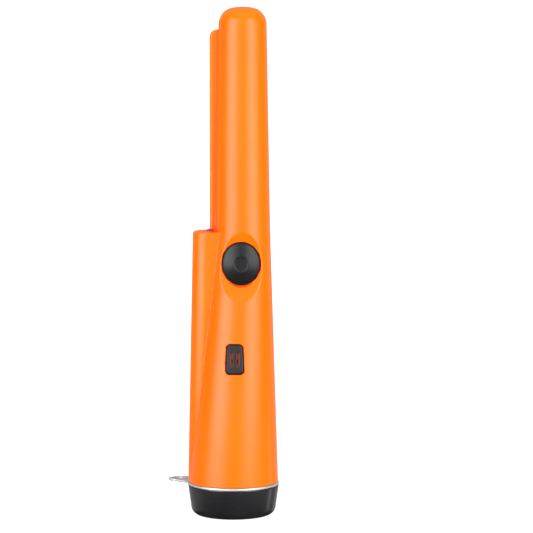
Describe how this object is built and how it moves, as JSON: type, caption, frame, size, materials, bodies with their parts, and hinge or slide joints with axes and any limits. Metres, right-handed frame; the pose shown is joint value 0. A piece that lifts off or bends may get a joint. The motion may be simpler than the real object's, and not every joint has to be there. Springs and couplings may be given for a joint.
{
  "type": "pinpointer probe",
  "caption": "Hand-held metal pinpointer probe: round sensing barrel with a scraper blade, lamp pod, push button, sound grille, steel lanyard ring and screw-on battery cap.",
  "frame": {"origin": "centre of the flat bottom of the battery cap, on the tail's axis", "axes": "+Z from the cap to the sensing tip, -Y out of the power button, -X towards the lamp pod and the scraper blade"},
  "size_m": [0.0499, 0.041, 0.229],
  "materials": {
    "orange_shell": "satin moulded ABS",
    "black_plastic": "polished moulded ABS",
    "button_plastic": "satin moulded",
    "black_rubber": "matte",
    "grey_foam": "open-cell foam",
    "steel": "bright stamped",
    "tinned_metal": "tinned",
    "membrane": "black woven membrane",
    "lamp_lens": "clear epoxy",
    "ivory_plastic": "moulded nylon",
    "green_board": "solder mask",
    "chip_black": "moulded epoxy",
    "can_aluminium": "drawn",
    "heavy_metal": "sintered",
    "blue_wire": "PVC sleeve",
    "red_wire": "PVC sleeve",
    "black_wire": "PVC sleeve",
    "battery_jacket": "printed jacket without lettering",
    "ferrite": "sintered ferrite",
    "copper_wire": "enamelled copper winding"
  },
  "bodies": {
    "root": {"housing": "orange_shell", "thread_insert": "black_plastic", "switch_body": "tinned_metal", "speaker_grille": "button_plastic", "sound_membrane": "membrane", "buzzer_gasket": "grey_foam", "buzzer": "black_plastic", "lamp": "lamp_lens", "lamp_leads": "tinned_metal", "chassis": "ivory_plastic", "main_board": "green_board", "board_screws": "steel", "control_chip": "chip_black", "amplifier_chips": "chip_black", "voltage_regulator": "chip_black", "capacitors": "can_aluminium", "resistors": "chip_black", "crystal": "tinned_metal", "motor_can": "tinned_metal", "motor_clip": "steel", "motor_leads": "blue_wire", "battery": "battery_jacket", "battery_terminals": "tinned_metal", "battery_snap": "black_plastic", "battery_lead_red": "red_wire", "battery_lead_black": "black_wire", "ferrite_rod": "ferrite", "coil_former": "ivory_plastic", "transmit_coil": "copper_wire", "receive_coils": "copper_wire", "coil_leads": "copper_wire", "nose_pad": "grey_foam"},
    "seal": {"seal_ring": "black_rubber"},
    "cap": {"battery_cap": "black_plastic", "cap_pad": "grey_foam"},
    "ring": {"lanyard_ring": "steel"},
    "button": {"power_button": "button_plastic", "button_seal": "black_rubber", "button_clip": "steel"},
    "stem": {"switch_stem": "black_plastic"},
    "eccentric": {"motor_shaft": "steel", "motor_weight": "heavy_metal"}
  },
  "joints": [
    {"name": "cap_lift", "type": "slide", "parent": "root", "child": "seal", "axis": [0, 0, -1], "range_m": [0, 0.00601]},
    {"name": "cap_turn", "type": "hinge", "parent": "seal", "child": "cap", "pos_m": [0, 0, 0.0135], "axis": [0, 0, -1], "range_deg": [0, 1080]},
    {"name": "ring_turn", "type": "hinge", "parent": "seal", "child": "ring", "pos_m": [0, 0, 0.0143], "axis": [0, 0, 1], "continuous": true},
    {"name": "button_press", "type": "slide", "parent": "root", "child": "button", "axis": [0, 1, 0], "range_m": [0, 0.0005], "stiffness_N_per_m": 3000},
    {"name": "switch_travel", "type": "slide", "parent": "root", "child": "stem", "axis": [0, 1, 0], "range_m": [0, 0.0005]},
    {"name": "motor_spin", "type": "hinge", "parent": "root", "child": "eccentric", "pos_m": [0.0024, 0.009, 0.08], "axis": [0, 0, 1], "continuous": true}
  ],
  "couplings": [
    {"joint": "cap_lift", "follows": "cap_turn", "m_per_rad": 0.00031831},
    {"joint": "switch_travel", "follows": "button_press", "ratio": 1}
  ]
}
